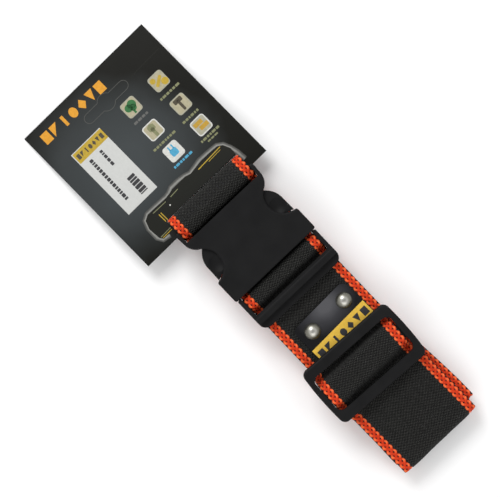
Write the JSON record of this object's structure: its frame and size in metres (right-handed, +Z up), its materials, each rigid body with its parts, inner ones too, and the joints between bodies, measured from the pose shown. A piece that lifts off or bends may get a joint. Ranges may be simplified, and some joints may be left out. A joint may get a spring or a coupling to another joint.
{
  "type": "toy tool belt",
  "caption": "Folded webbing work belt with braided edges, side-release buckle, tri-glide slider, riveted patch and the hang card it is sold on.",
  "frame": {"origin": "underside of the folded bundle, on the belt's centre line, under the buckle's mouth", "axes": "+X along the belt from the hang card to the folded tail, +Y across the belt, +Z up from the face it rests on"},
  "size_m": [0.2644, 0.087, 0.0244],
  "materials": {
    "webbing": "woven, matte",
    "edge_braid": "braided, matte",
    "buckle_plastic": "fine moulded texture",
    "patch_vinyl": "satin gloss",
    "label_yellow": "woven tape",
    "nickel": "polished, lightly worn",
    "thread": "twisted thread",
    "card_print": "coated printed card",
    "sticker_paper": "coated label paper"
  },
  "bodies": {
    "belt": {"bundle_web": "webbing", "bundle_braid_left": "edge_braid", "bundle_braid_right": "edge_braid", "front_web": "webbing", "front_braid_left": "edge_braid", "front_braid_right": "edge_braid", "male_body": "buckle_plastic", "patch": "patch_vinyl", "label_strip": "label_yellow", "rivet_caps": "nickel", "rivet_posts": "nickel", "rivet_washers": "nickel"},
    "female_half": {"female_housing": "buckle_plastic", "loop_web": "webbing", "loop_braid_left": "edge_braid", "loop_braid_right": "edge_braid", "loop_stitching": "thread"},
    "card": {"hang_card": "card_print", "card_knockout": "card_print", "card_sticker": "sticker_paper"},
    "latch_left": {"latch_arm_left": "buckle_plastic"},
    "latch_right": {"latch_arm_right": "buckle_plastic"},
    "slider": {"slider_frame": "buckle_plastic", "slider_web": "webbing", "slider_braid_left": "edge_braid", "slider_braid_right": "edge_braid"}
  },
  "joints": [
    {"name": "buckle_release", "type": "slide", "parent": "belt", "child": "female_half", "axis": [-1, 0, 0], "range_m": [0, 0.036], "deforming": ["latch_arm_left", "latch_arm_right"]},
    {"name": "latch_left_press", "type": "hinge", "parent": "belt", "child": "latch_left", "pos_m": [0.0034, 0.0165, 0.0184], "axis": [0, 0, 1], "range_deg": [0, 10], "stiffness_Nm_per_rad": 1.7},
    {"name": "latch_right_press", "type": "hinge", "parent": "belt", "child": "latch_right", "pos_m": [0.0034, -0.0165, 0.0184], "axis": [0, 0, -1], "range_deg": [0, 10], "stiffness_Nm_per_rad": 1.7},
    {"name": "slider_slide", "type": "slide", "parent": "belt", "child": "slider", "axis": [1, 0, 0], "range_m": [-0.007, 0.016], "deforming": ["slider_web", "slider_braid_left", "slider_braid_right"]},
    {"name": "card_swing", "type": "hinge", "parent": "female_half", "child": "card", "pos_m": [-0.0472, 0, 0.0104], "axis": [0, 1, 0], "range_deg": [0, 12]}
  ]
}
